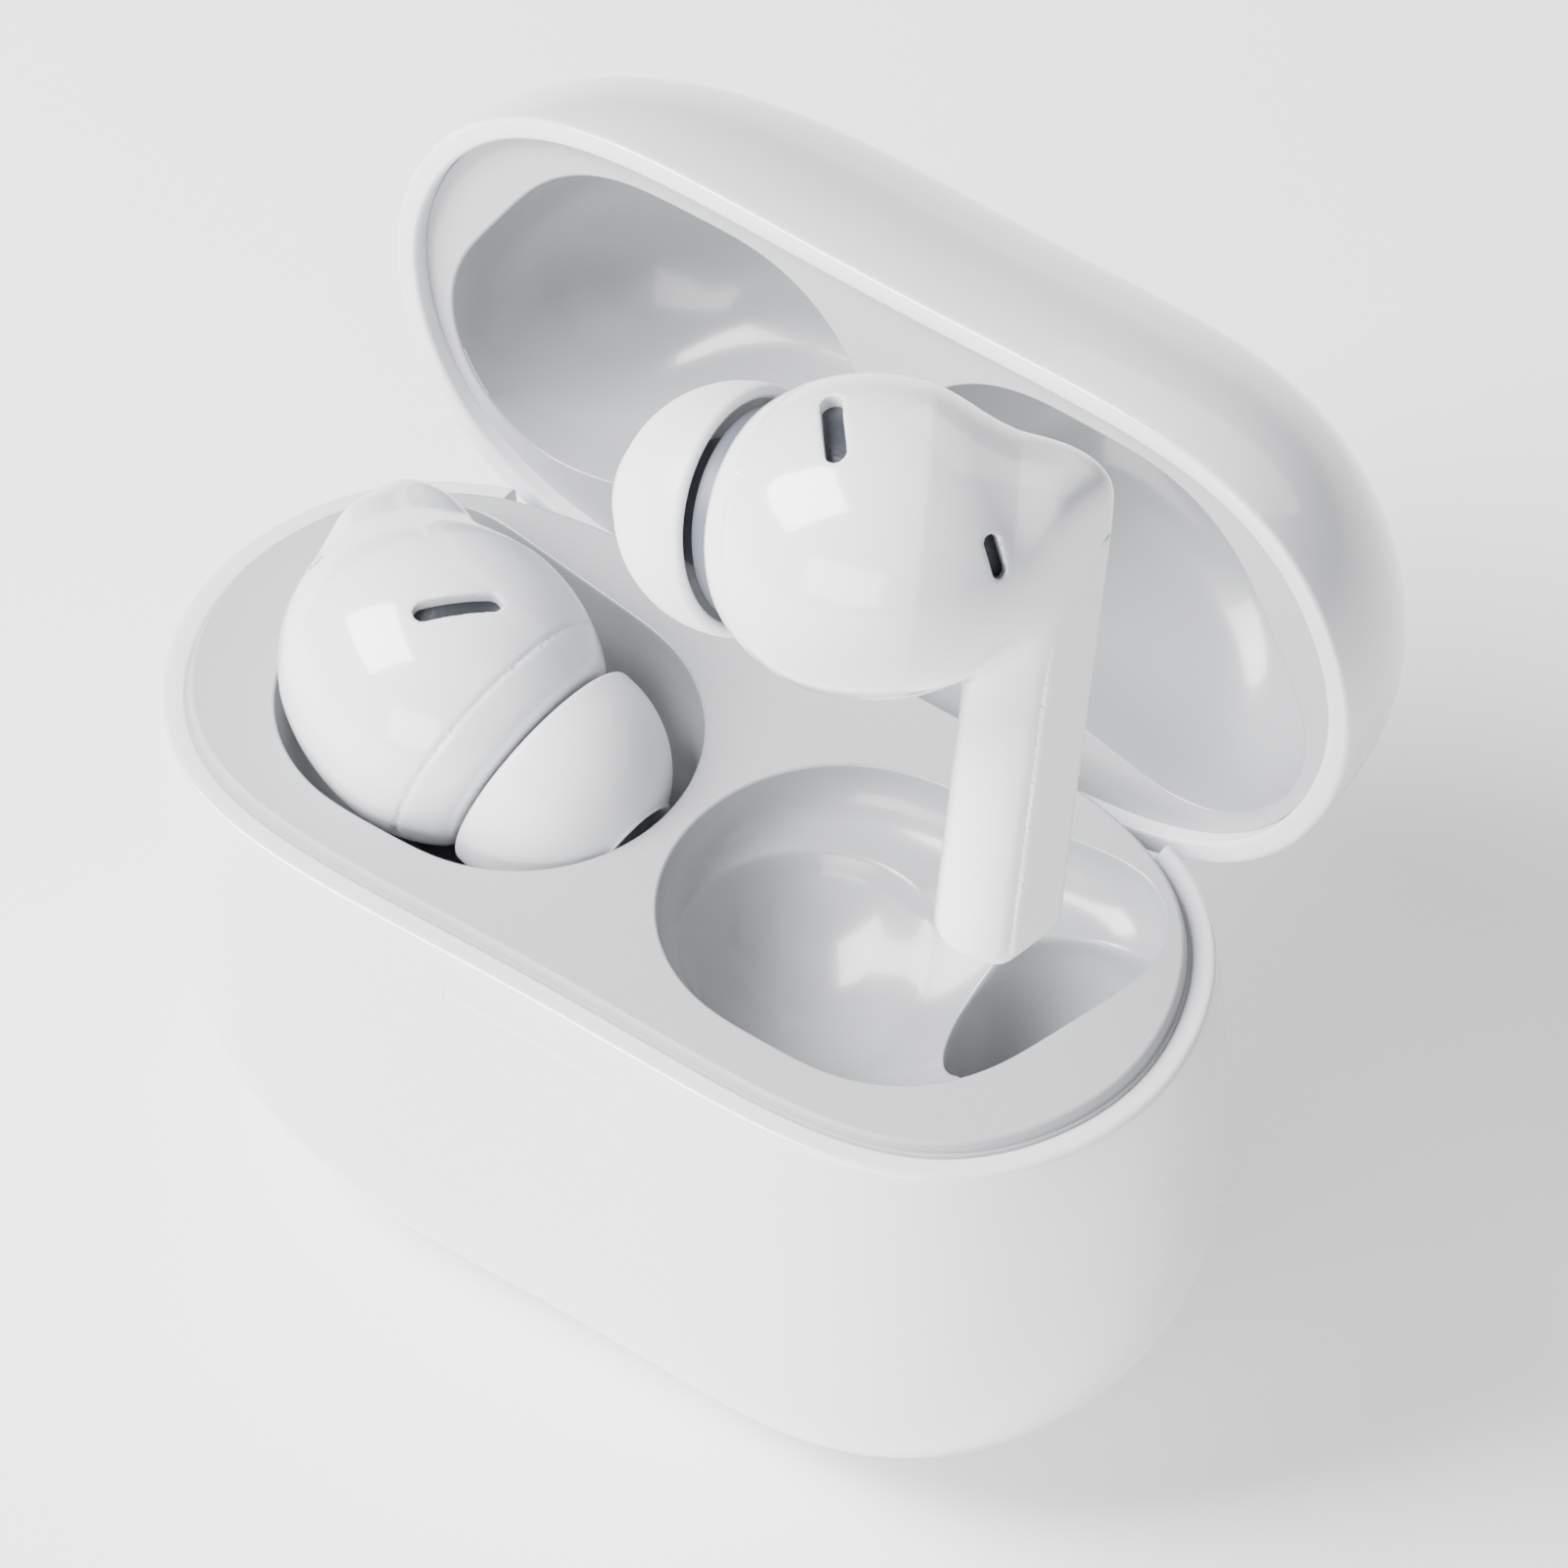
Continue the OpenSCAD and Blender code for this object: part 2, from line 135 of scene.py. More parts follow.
def make(name, verts, faces, rest=None, sharp=40):
    """A smooth-shaded object from millimetre vertices; rest maps them into the row frame."""
    verts = np.asarray(verts, float)
    if rest is not None:
        verts = rest(verts)
    mesh = bpy.data.meshes.new(name)
    mesh.from_pydata((verts * MM).tolist(), [], [list(f) for f in faces])
    bm = bmesh.new()
    bm.from_mesh(mesh)
    bmesh.ops.recalc_face_normals(bm, faces=bm.faces)
    bm.to_mesh(mesh)
    bm.free()
    mesh.shade_smooth()
    mesh.set_sharp_from_angle(angle=np.radians(sharp))
    obj = bpy.data.objects.new(name.replace(" ", "_") + "_surface", mesh)
    bpy.context.scene.collection.objects.link(obj)
    return obj


def at_rim(v):
    """Heights from the rim to heights from the ground."""
    return v + [0, 0, RIM_Z]


def in_lid(v):
    """Closed-lid place to the open rest pose."""
    c, s = np.cos(np.radians(LID_OPEN)), np.sin(np.radians(LID_OPEN))
    y, z = v[:, 1] - HINGE_Y, v[:, 2] + HINGE_DROP
    return np.column_stack([v[:, 0], HINGE_Y + y * c + z * s, RIM_Z - HINGE_DROP - y * s + z * c])


def left_seat(v):
    """The seated left earbud, the right one's mirror."""
    return at_rim(v * [-1, 1, 1])


def right_float(v):
    """The right earbud, lifted from its seat."""
    return at_rim(v + FLOAT_AT)


def cut(obj, *cutters):
    """Takes the cutters' volume out of an object, then removes them."""
    for c in cutters:
        mod = obj.modifiers.new("cut", "BOOLEAN")
        mod.object, mod.operation, mod.solver = c, "DIFFERENCE", "EXACT"
    bpy.context.view_layer.update()
    graph = bpy.context.evaluated_depsgraph_get()
    mesh = bpy.data.meshes.new_from_object(obj.evaluated_get(graph))
    obj.modifiers.clear()
    obj.data = mesh
    for c in cutters:
        bpy.data.objects.remove(c)
    mesh.shade_smooth()
    mesh.set_sharp_from_angle(angle=np.radians(40))


def box_cutter(x0, x1, y0, y1, z0, z1):
    """A box's volume, with heights from the rim."""
    v = np.array([[x, y, z] for z in (z0, z1) for x, y in ((x0, y0), (x1, y0), (x1, y1), (x0, y1))])
    f = [(0, 3, 2, 1), (4, 5, 6, 7), (0, 1, 5, 4), (1, 2, 6, 5), (2, 3, 7, 6), (3, 0, 4, 7)]
    return make("cutter", v, f, at_rim)


def turned(profile, count=96):
    """A closed profile of (radius, height) turned about Z."""
    a = np.linspace(0, TAU, count, endpoint=False)
    rings = [np.column_stack([r * np.cos(a), r * np.sin(a), np.full(count, h)]) for r, h in profile]
    return loft(rings + [rings[0]])


def arc(cx, cz, r, a0, a1, steps):
    """Points on an arc of a profile, between two angles."""
    a = np.radians(np.linspace(a0, a1, steps))
    return [(cx + r * np.cos(t), cz + r * np.sin(t)) for t in a]


# ---------------------------------------------------------------- materials
def material(name, color, rough, coat=0.0, metal=0.0, grain=0.0, grain_size=4000.0, vary=0.03,
             subsurface=0.0):
    """A plastic, metal or rubber with a fine grain and slightly uneven gloss."""
    m = bpy.data.materials.new(name)
    m.use_nodes = True
    nt = m.node_tree
    b = nt.nodes["Principled BSDF"]
    b.inputs["Base Color"].default_value = (*color, 1)
    b.inputs["Metallic"].default_value = metal
    b.inputs["Coat Weight"].default_value = coat
    b.inputs["Coat Roughness"].default_value = 0.06
    b.inputs["Subsurface Weight"].default_value = subsurface
    b.inputs["Subsurface Radius"].default_value = (1.0, 1.0, 1.0)
    b.inputs["Subsurface Scale"].default_value = 0.0015
    where = nt.nodes.new("ShaderNodeTexCoord")
    noise = nt.nodes.new("ShaderNodeTexNoise")
    noise.inputs["Scale"].default_value = 160.0
    noise.inputs["Detail"].default_value = 3.0
    nt.links.new(where.outputs["Object"], noise.inputs["Vector"])
    spread = nt.nodes.new("ShaderNodeMapRange")
    spread.inputs["To Min"].default_value = max(0.02, rough - vary)
    spread.inputs["To Max"].default_value = rough + vary
    nt.links.new(noise.outputs["Fac"], spread.inputs["Value"])
    nt.links.new(spread.outputs["Result"], b.inputs["Roughness"])
    if grain:
        fine = nt.nodes.new("ShaderNodeTexNoise")
        fine.inputs["Scale"].default_value = grain_size
        fine.inputs["Detail"].default_value = 2.0
        nt.links.new(where.outputs["Object"], fine.inputs["Vector"])
        bump = nt.nodes.new("ShaderNodeBump")
        bump.inputs["Strength"].default_value = grain
        bump.inputs["Distance"].default_value = 0.00005
        nt.links.new(fine.outputs["Fac"], bump.inputs["Height"])
        nt.links.new(bump.outputs["Normal"], b.inputs["Normal"])
        tone = nt.nodes.new("ShaderNodeMix")
        tone.data_type = "RGBA"
        tone.inputs["A"].default_value = (*[c * 0.97 for c in color], 1)
        tone.inputs["B"].default_value = (*[min(1, c * 1.03) for c in color], 1)
        nt.links.new(fine.outputs["Fac"], tone.inputs["Factor"])
        nt.links.new(tone.outputs["Result"], b.inputs["Base Color"])
    return m


WHITE = material("polished white plastic", (0.84, 0.85, 0.88), 0.16, coat=0.6, subsurface=0.1)
GREY = material("grained grey plastic", (0.45, 0.455, 0.47), 0.5, grain=0.35, grain_size=5000)
# The wells and cavities: the liner's plastic with a glossier finish, made darker than the plateau grey as
# painted shade in the recesses
SHADED_GLOSS_GREY = material("gloss grey well", (0.38, 0.385, 0.4), 0.24, coat=0.25)
SILICONE = material("satin silicone", (0.84, 0.85, 0.87), 0.38, grain=0.05, subsurface=0.15)
# A dark silicone for the tip's inner sleeve: painted shade in the gap inside the skirt
SHADE_SLATE = material("dark silicone as painted shade", (0.11, 0.12, 0.15), 0.45)
MESH_DARK = material("dark mesh", (0.05, 0.055, 0.065), 0.4, metal=0.4, grain=0.8, grain_size=3000)
DIFFUSER = material("frosted bar", (0.88, 0.89, 0.9), 0.35, grain=0.1)
STEEL = material("bright steel", (0.62, 0.63, 0.65), 0.22, metal=1.0, grain=0.1)
SATIN = material("satin alloy", (0.7, 0.71, 0.73), 0.32, metal=1.0, grain=0.2)
BLACK = material("black plastic", (0.03, 0.03, 0.035), 0.4, grain=0.2)
BOARD = material("solder mask", (0.03, 0.16, 0.08), 0.35, coat=0.3, grain=0.2)
CELL = material("cell wrap", (0.22, 0.25, 0.3), 0.35, metal=0.3, grain=0.2)
GOLD = material("gold plate", (0.83, 0.62, 0.25), 0.2, metal=1.0)
FILM = material("amber film", (0.5, 0.22, 0.05), 0.3)
SLOT_LOOK = {
    "gloss_white": WHITE, "grey_liner": GREY, "light_diffuser": DIFFUSER, "circuit_board": BOARD,
    "led_body": DIFFUSER, "black_plastic": BLACK, "bright_steel": STEEL, "hinge_metal": SATIN,
    "cell_wrap": CELL, "flex_film": FILM, "magnet": STEEL, "gold": GOLD, "silicone": SILICONE,
    "dark_mesh": MESH_DARK,
}
for part in frame["record"]["subparts"]:
    nodes[part["node"]].data.materials.clear()
    nodes[part["node"]].data.materials.append(SLOT_LOOK[part["material_slot"]])


def dress(obj, body, slot, *stands_for, look=None):
    """Gives a piece its look, its body and the CAD nodes it stands for."""
    obj.data.materials.clear()
    obj.data.materials.append(look or SLOT_LOOK[slot])
    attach(obj, body)
    if stands_for:
        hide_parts(*stands_for)
    return obj


# ---------------------------------------------------------------- case base
def hinge_cutter():
    """The space the lid's back edge swings through, turned about the hinge axis."""
    v, f = turned([(0.01, -20.8), (1.9, -20.8), (3.4, -15), (3.9, -12), (3.9, 12), (3.4, 15),
                   (1.9, 20.8), (0.01, 20.8)])
    v = np.column_stack([v[:, 2], v[:, 0] + HINGE_Y, v[:, 1] - HINGE_DROP])
    return make("cutter", v, f, at_rim)


def slot_cutter(w, h, z0, z1):
    """A round-ended upright slot's volume, for the port."""
    a = np.linspace(0, TAU, 64, endpoint=False)
    x = np.cos(a) * h / 2 + np.sign(np.cos(a)) * (w - h) / 2
    loop = np.column_stack([x, np.sin(a) * h / 2])
    v, f = loft([np.column_stack([loop, np.full(64, z)]) for z in (z0, z1)], True, True)
    return make("cutter", v, f)


def base_shell():
    """The lower shell, with the hinge recess, port, light bar and button cut out."""
    fillet = 0.35
    foot = -RIM_Z
    climb = foot * np.cos(np.linspace(0, np.pi / 2, 64))
    outer = [base_ring(z) for z in climb[:-1] if z < -fillet]
    lip = [base_ring(-fillet + fillet * np.sin(a), fillet * (1 - np.cos(a)))
           for a in np.linspace(0, np.pi / 2, 7)]
    edge = WALL + 0.05
    lip += [base_ring(-0.25 * (1 - np.cos(a)), edge - 0.25 + 0.25 * np.sin(a))
            for a in np.linspace(0, np.pi / 2, 5)]
    hollow = [base_ring((foot + WALL) * np.sin(a), WALL) for a in np.linspace(0.02, np.pi / 2, 40)]
    v, f = loft(outer + lip + hollow, True, True)
    shell = make("base shell", v, f, at_rim)
    turn_back = lambda p: at_rim(np.column_stack([p[:, 0], p[:, 2] + BUTTON_Y, p[:, 1] + BUTTON_Z]))
    button = make("cutter", *turned([(0.01, 0), (BUTTON_R, 0), (BUTTON_R, 10), (0.01, 10)]), turn_back)
    cut(shell, hinge_cutter(), slot_cutter(PORT_W, PORT_H, -1, 3),
        box_cutter(-BAR_HALF, BAR_HALF, -20, -8, BAR_LOW, BAR_HIGH), button)
    dress(shell, "case", "gloss_white", "base_shell")


# ---------------------------------------------------------------- wells and cavities
def hull_loop(circles, count=320):
    """The outline round some circles (x, y, r), evenly spaced."""
    t = np.linspace(0, TAU, 4000, endpoint=False)
    n = np.column_stack([np.cos(t), np.sin(t)])
    c = np.array(circles, float)
    reach = n @ c[:, :2].T + c[:, 2]
    k = reach.argmax(1)
    p = c[k, :2] + n * c[k, 2][:, None]
    step = np.linalg.norm(np.roll(p, -1, 0) - p, axis=1)
    s = np.concatenate([[0], np.cumsum(step)])
    p = np.vstack([p, p[:1]])
    even = np.linspace(0, s[-1], count, endpoint=False)
    q = np.column_stack([np.interp(even, s, p[:, 0]), np.interp(even, s, p[:, 1])])
    for _ in range(60):
        q = 0.5 * q + 0.25 * (np.roll(q, 1, 0) + np.roll(q, -1, 0))
    return q


def soft_min(a, b, k):
    """The lower of two fields, blended over a width."""
    h = np.clip(0.5 + 0.5 * (b - a) / k, 0, 1)
    return b + (a - b) * h - k * h * (1 - h)


def soft_max(a, b, k):
    """The higher of two fields, blended over a width."""
    return -soft_min(-a, -b, k)


WELL = [(10, -0.2, 9.3), (14.5, -0.5, 9.0), (20.4, 5.5, 4.9)]
CAVITY = [(9.8, -1.4, 9.2), (15, -1.3, 9.2), (19.6, 2.9, 7.4)]


def depth_inside(p, loop):
    """Distance of points from the loop round them."""
    along = np.roll(loop, -1, 0) - np.roll(loop, 1, 0)
    n = np.column_stack([-along[:, 1], along[:, 0]])
    n /= np.linalg.norm(n, axis=1)[:, None]
    away = p[:, None, :] - loop[None, :, :]
    near = (away ** 2).sum(2).argmin(1)
    return (away[np.arange(len(p)), near] * n[near]).sum(1)


def well_depth(x, y, inside):
    """Height of the well's floor; inside is the distance from its edge."""
    fillet = 3.4
    floor = TRAY_UP - 0.15 - 3.2 * bulge(1 - np.clip(inside / fillet, 0, 1), 2.2)
    room = HEAD_R + 0.5
    rho = (x - HEAD[0]) ** 2 + (y - HEAD[1]) ** 2
    ball = HEAD[2] - np.sqrt(np.maximum(room ** 2 - rho, 0)) + 3 * (rho > room ** 2)
    tip_low = TIP_AT + [1.4, 0, 0]
    rho = (x - tip_low[0]) ** 2 + (y - tip_low[1]) ** 2
    room = TIP_R + 0.5
    tip = -0.2 - np.sqrt(np.maximum(room ** 2 - rho, 0)) + 3 * (rho > room ** 2)
    floor = soft_min(soft_min(floor, ball, 1.5), tip, 1.5)
    bend_z = -3.5
    slot_y = STEM_FOOT[1] + (bend_z - STEM_FOOT[2]) * np.tan(LEAN)
    rho = np.hypot(x - STEM_FOOT[0], y - slot_y)
    slot = SLOT_FLOOR + SLOT_RISE * np.maximum(0, rho - STEM_R - 0.4) ** 1.1
    return soft_min(floor, slot, 5.0), bend_z


def well_mesh(mirror):
    """One earbud's well: its edge loop, and the bowl's vertices and faces."""
    edge = hull_loop(WELL)
    n = len(edge)
    middle = np.array([14.5, 0.4])
    rings = []
    round_r = 0.15
    for a in np.linspace(0, np.pi / 2, 5):
        p = inward(edge, 0, -round_r + round_r * np.sin(a))
        p[:, 2] = TRAY_UP - round_r * (1 - np.cos(a))
        rings.append(p)
    steps = np.linspace(0, 1, 150)[1:] ** 1.15
    for s in steps:
        p = edge + (middle - edge) * s
        z, bend = well_depth(p[:, 0], p[:, 1], depth_inside(p, edge))
        z = np.minimum(z, TRAY_UP - round_r - 0.02)
        y = p[:, 1] + np.tan(LEAN) * np.minimum(0, z - bend)
        rings.append(np.column_stack([p[:, 0], y, z]))
    v, f = loft(rings)
    v = v * ([-1, 1, 1] if mirror else [1, 1, 1])
    return rings[0] * ([-1, 1, 1] if mirror else [1, 1, 1]), v, f


def plate(loops, z):
    """Triangles of a flat face bounded by some loops, the first outside."""
    bm = bmesh.new()
    for loop in loops:
        vs = [bm.verts.new((p[0], p[1], z)) for p in loop]
        for a, b in zip(vs, vs[1:] + vs[:1]):
            bm.edges.new((a, b))
    bmesh.ops.triangle_fill(bm, edges=bm.edges[:], use_beauty=True, use_dissolve=False)
    bm.verts.ensure_lookup_table()
    bm.verts.index_update()
    v = np.array([x.co[:] for x in bm.verts])
    f = [[x.index for x in face.verts] for face in bm.faces]
    bm.free()
    return v, f


def join_meshes(parts):
    """One vertex and face list from several."""
    verts, faces, base = [], [], 0
    for v, f in parts:
        verts.append(np.asarray(v))
        faces += [[i + base for i in face] for face in f]
        base += len(v)
    return np.concatenate(verts), faces


def notched(loop, back=COVER_Y):
    """The tray's outline with the hinge's recess taken from its back."""
    p = loop.copy()
    inside = (np.abs(p[:, 0]) < NOTCH_X) & (p[:, 1] > back)
    p[inside, 1] = back
    return p


def inner_tray():
    """The grey plateau and its two wells."""
    edge = WALL - 0.02
    bevel = 0.2
    rims = [notched(base_ring(-1.2, edge), NOTCH_Y), notched(base_ring(0.1, edge), NOTCH_Y)]
    edge = WALL + 0.15
    rims += [notched(base_ring(0.12, edge)), notched(base_ring(TRAY_UP - bevel, edge))]
    rims += [notched(base_ring(TRAY_UP - bevel + bevel * np.sin(a), edge + bevel * (1 - np.cos(a))))
             for a in np.linspace(0.3, np.pi / 2, 4)]
    parts = [loft(rims)]
    holes = []
    for mirror in (False, True):
        hole, v, f = well_mesh(mirror)
        holes.append(hole)
        well = make("well " + ("left" if mirror else "right"), v, f, at_rim)
        # Painted shade: the well takes a darker copy of the grey liner
        dress(well, "case", "grey_liner", look=SHADED_GLOSS_GREY)
    parts.append(plate([rims[-1]] + holes, TRAY_UP))
    v, f = join_meshes(parts)
    tray = make("inner tray", v, f, at_rim)
    dress(tray, "case", "grey_liner", "inner_tray")


# ---------------------------------------------------------------- lid
def lid_shell():
    """The lid's dome with its rolled rim."""
    fillet = 0.3
    inner_top = LID_H - WALL
    rim = [lid_ring(SEAM + 0.25 - 0.25 * np.sin(a), WALL - 0.25 * (1 - np.cos(a)))
           for a in np.linspace(0, np.pi / 2, 5)]
    rim += [lid_ring(SEAM + fillet - fillet * np.cos(a), fillet * (1 - np.sin(a)))
            for a in np.linspace(0, np.pi / 2, 7)]
    outer = [lid_ring(LID_H * np.sin(a)) for a in np.linspace(0.05, np.pi / 2 * 0.995, 72)]
    inner = [lid_ring(inner_top * np.sin(a), WALL * (1 - 0.6 * np.sin(a)), WALL)
             for a in np.linspace(np.pi / 2 * 0.98, 0.05, 40)]
    v, f = loft(inner + rim + outer, True, True)
    shell = make("lid shell", v, f, in_lid)
    dress(shell, "lid", "gloss_white", "lid_shell")


def lid_room(x, y):
    """Height of the liner's roof over a point, under the lid's inner side."""
    px, py = outline(720)
    low, high = np.zeros_like(x), np.full_like(x, LID_H)
    ang = np.arctan2(py, px)
    order = np.argsort(ang)
    ang, rad = ang[order], np.hypot(px, py)[order]
    off = WALL + 0.9
    for _ in range(24):
        z = (low + high) / 2
        u = z / (LID_H - off)
        kx = np.maximum(RIM_KX * bulge(u, LID_POWER[0]) - off / HALF_LEN * (1 - 0.6 * u), 1e-3)
        ky = np.maximum(RIM_KY * bulge(u, LID_POWER[1]) - off / HALF_DEP * (1 - 0.6 * u), 1e-3)
        qx, qy = x / (HALF_LEN * kx), y / (HALF_DEP * ky)
        inside = np.hypot(qx, qy) < np.interp(np.arctan2(qy, qx), ang, rad, period=TAU)
        low, high = np.where(inside, z, low), np.where(inside, high, z)
    return low


def lid_liner():
    """The grey liner with a cavity over each earbud."""
    edge = WALL - 0.03
    face = lid_ring(MOUTH_Z, edge)
    holes = []
    for side in (1, -1):
        loop = hull_loop(CAVITY)
        middle = np.array([14.2, -0.4])
        rings = []
        for a in np.linspace(0, np.pi / 2, 5):
            p = inward(loop, 0, -0.15 + 0.15 * np.sin(a))
            p[:, 2] = MOUTH_Z + 0.15 * (1 - np.cos(a))
            rings.append(p)
        holes.append(rings[0] * [side, 1, 1])
        for s in np.linspace(0, 1, 100)[1:] ** 1.2:
            p = loop + (middle - loop) * s
            gap = depth_inside(p, loop)
            dome = MOUTH_Z + 0.15 + 12.6 * bulge(1 - np.clip(gap / 8.6, 0, 1), 2.3)
            z = soft_min(dome, lid_room(p[:, 0], p[:, 1]), 1.6)
            z = np.maximum(z, MOUTH_Z + 0.16)
            rings.append(np.column_stack([p, z]))
        v, f = loft(rings)
        cup = make("lid cavity " + ("right" if side > 0 else "left"), v * [side, 1, 1], f, in_lid)
        # Painted shade: the cavity takes a darker copy of the grey liner
        dress(cup, "lid", "grey_liner", look=SHADED_GLOSS_GREY)
    v, f = plate([face] + holes, MOUTH_Z)
    liner = make("lid liner", v, f, in_lid)
    dress(liner, "lid", "grey_liner", "lid_liner")


# ---------------------------------------------------------------- earbuds
def surface_net(field, low, high, step):
    """Quads round a field's zero level, with the vertices drawn onto it."""
    axes = [np.arange(a, b + step, step) for a, b in zip(low, high)]
    grid = np.stack(np.meshgrid(*axes, indexing="ij"), -1)
    shape = grid.shape[:3]
    value = field(grid.reshape(-1, 3)).reshape(shape)
    inside = value < 0
    corner = [inside[i:shape[0] - 1 + i, j:shape[1] - 1 + j, k:shape[2] - 1 + k]
              for i in (0, 1) for j in (0, 1) for k in (0, 1)]
    count = np.sum(corner, axis=0)
    live = (count > 0) & (count < 8)
    index = -np.ones(live.shape, int)
    index[live] = np.arange(live.sum())
    p = np.argwhere(live) * step + np.array([a[0] for a in axes]) + step / 2
    tiny = 0.02
    for _ in range(6):
        f0 = field(p)
        g = np.column_stack([field(p + d) - field(p - d) for d in np.eye(3) * tiny]) / (2 * tiny)
        move = g * (f0 / np.maximum((g ** 2).sum(1), 1e-6))[:, None]
        size = np.linalg.norm(move, axis=1)[:, None]
        p = p - move * np.minimum(1, 0.5 * step / np.maximum(size, 1e-9))
    quads = []
    for axis in range(3):
        u, w = [a for a in range(3) if a != axis]
        ahead = np.take(inside, range(1, shape[axis]), axis)
        here = np.take(inside, range(0, shape[axis] - 1), axis)
        cross = np.argwhere(here != ahead)
        ok = (cross[:, u] > 0) & (cross[:, u] < shape[u] - 1)
        ok &= (cross[:, w] > 0) & (cross[:, w] < shape[w] - 1)
        cross = cross[ok]
        cells = []
        for du, dw in ((-1, -1), (0, -1), (0, 0), (-1, 0)):
            c = cross.copy()
            c[:, u] += du
            c[:, w] += dw
            cells.append(index[c[:, 0], c[:, 1], c[:, 2]])
        q = np.column_stack(cells)
        quads += q[(q >= 0).all(1)].tolist()
    return p, quads


def in_stem(p):
    """Coordinates along the stem: outward, across, up."""
    q = p - STEM_FOOT
    across = np.array([0, np.cos(LEAN), -np.sin(LEAN)])
    return q @ np.cross(across, STEM_AXIS), q @ across, q @ STEM_AXIS


def bud_field(p):
    """Signed distance, about, of the earbud's shell."""
    q = p - HEAD
    ahead = q @ NOZZLE
    aside = q - ahead[:, None] * NOZZLE
    stretch = np.where(ahead < 0, HEAD_R / HEAD_TAIL, 1.0)
    ball = np.hypot(np.linalg.norm(aside, axis=1), ahead * stretch) - HEAD_R
    face = (p - TIP_AT) @ NOZZLE
    ball = soft_max(ball, face - FACE_AT, 0.8)
    seam = np.hypot(ball, face + 3.4) - 0.1
    ball = soft_max(ball, -seam, 0.1)
    run = NECK_B - NECK_A
    t = np.clip(((p - NECK_A) @ run) / (run @ run), 0, 1)
    neck = np.linalg.norm(p - NECK_A - t[:, None] * run, axis=1) - (NECK_R - NECK_TAPER * t)
    out, across, up = in_stem(p)
    stem = np.hypot(out, across) - STEM_R
    stem = soft_max(stem, out - STEM_FLAT, 0.5)
    stem = soft_max(stem, -up - 0.3, 0.9)
    stem = soft_max(stem, up - STEM_LEN - 2.2, 2.4)
    body = soft_min(soft_min(ball, neck, 3.0), stem, 2.2)
    return soft_max(body, out - STEM_FLAT - 0.2, 0.8)


def bud_with_slots(p):
    """The shell with its vent and microphone openings sunk in."""
    d = bud_field(p)
    for at, along, out, half, r in (VENT, MIC):
        opening = slot_field(p, at, along, out, half, r)
        d = soft_max(d, -np.maximum(opening, -(d + 1.0)), 0.15)
    return d


def slot_field(p, at, along, out, half, r):
    """Distance from a round-ended slot that runs straight in from the skin."""
    q = p - at
    depth = q @ out
    flat = q - depth[:, None] * out
    t = np.clip(flat @ along, -half, half)
    d = np.linalg.norm(flat - t[:, None] * along, axis=1) - r
    return np.maximum(d, np.abs(depth) - 2.5)


def onto_shell(p, direction):
    """The shell's surface from a point, along a direction."""
    d = unit(direction)
    s = 0.0
    for _ in range(60):
        s += -bud_field((p + d * s)[None])[0]
    return p + d * s


def tangent(direction, normal):
    """A direction laid flat on the plane across a normal."""
    n = unit(normal)
    return unit(np.asarray(direction, float) - (np.asarray(direction, float) @ n) * n)


def unit(v):
    """A vector of length 1."""
    return np.asarray(v, float) / np.linalg.norm(v)


def slot_at(start, out, along, half, r):
    """A slot's centre on the skin, its run, its way out, half length and half width."""
    out = unit(out)
    return onto_shell(np.asarray(start, float), out), tangent(along, out), out, half, r


VENT = slot_at(HEAD, (-0.14, -0.05, 0.97), (-0.64, 0.75, -0.1), 1.75, 0.55)
MIC = slot_at((19.4, 0.1, 4.3), (0.62, -0.4, 0.62), (0.4, -0.2, -0.8), 0.75, 0.4)


def nozzle_place(at):
    """A map from turned-about-Z coordinates to the nozzle's axis."""
    z = NOZZLE
    x = np.cross([0, 1, 0], z)
    x /= np.linalg.norm(x)
    y = np.cross(z, x)
    basis = np.array([x, y, z])
    return lambda v: v @ basis + at


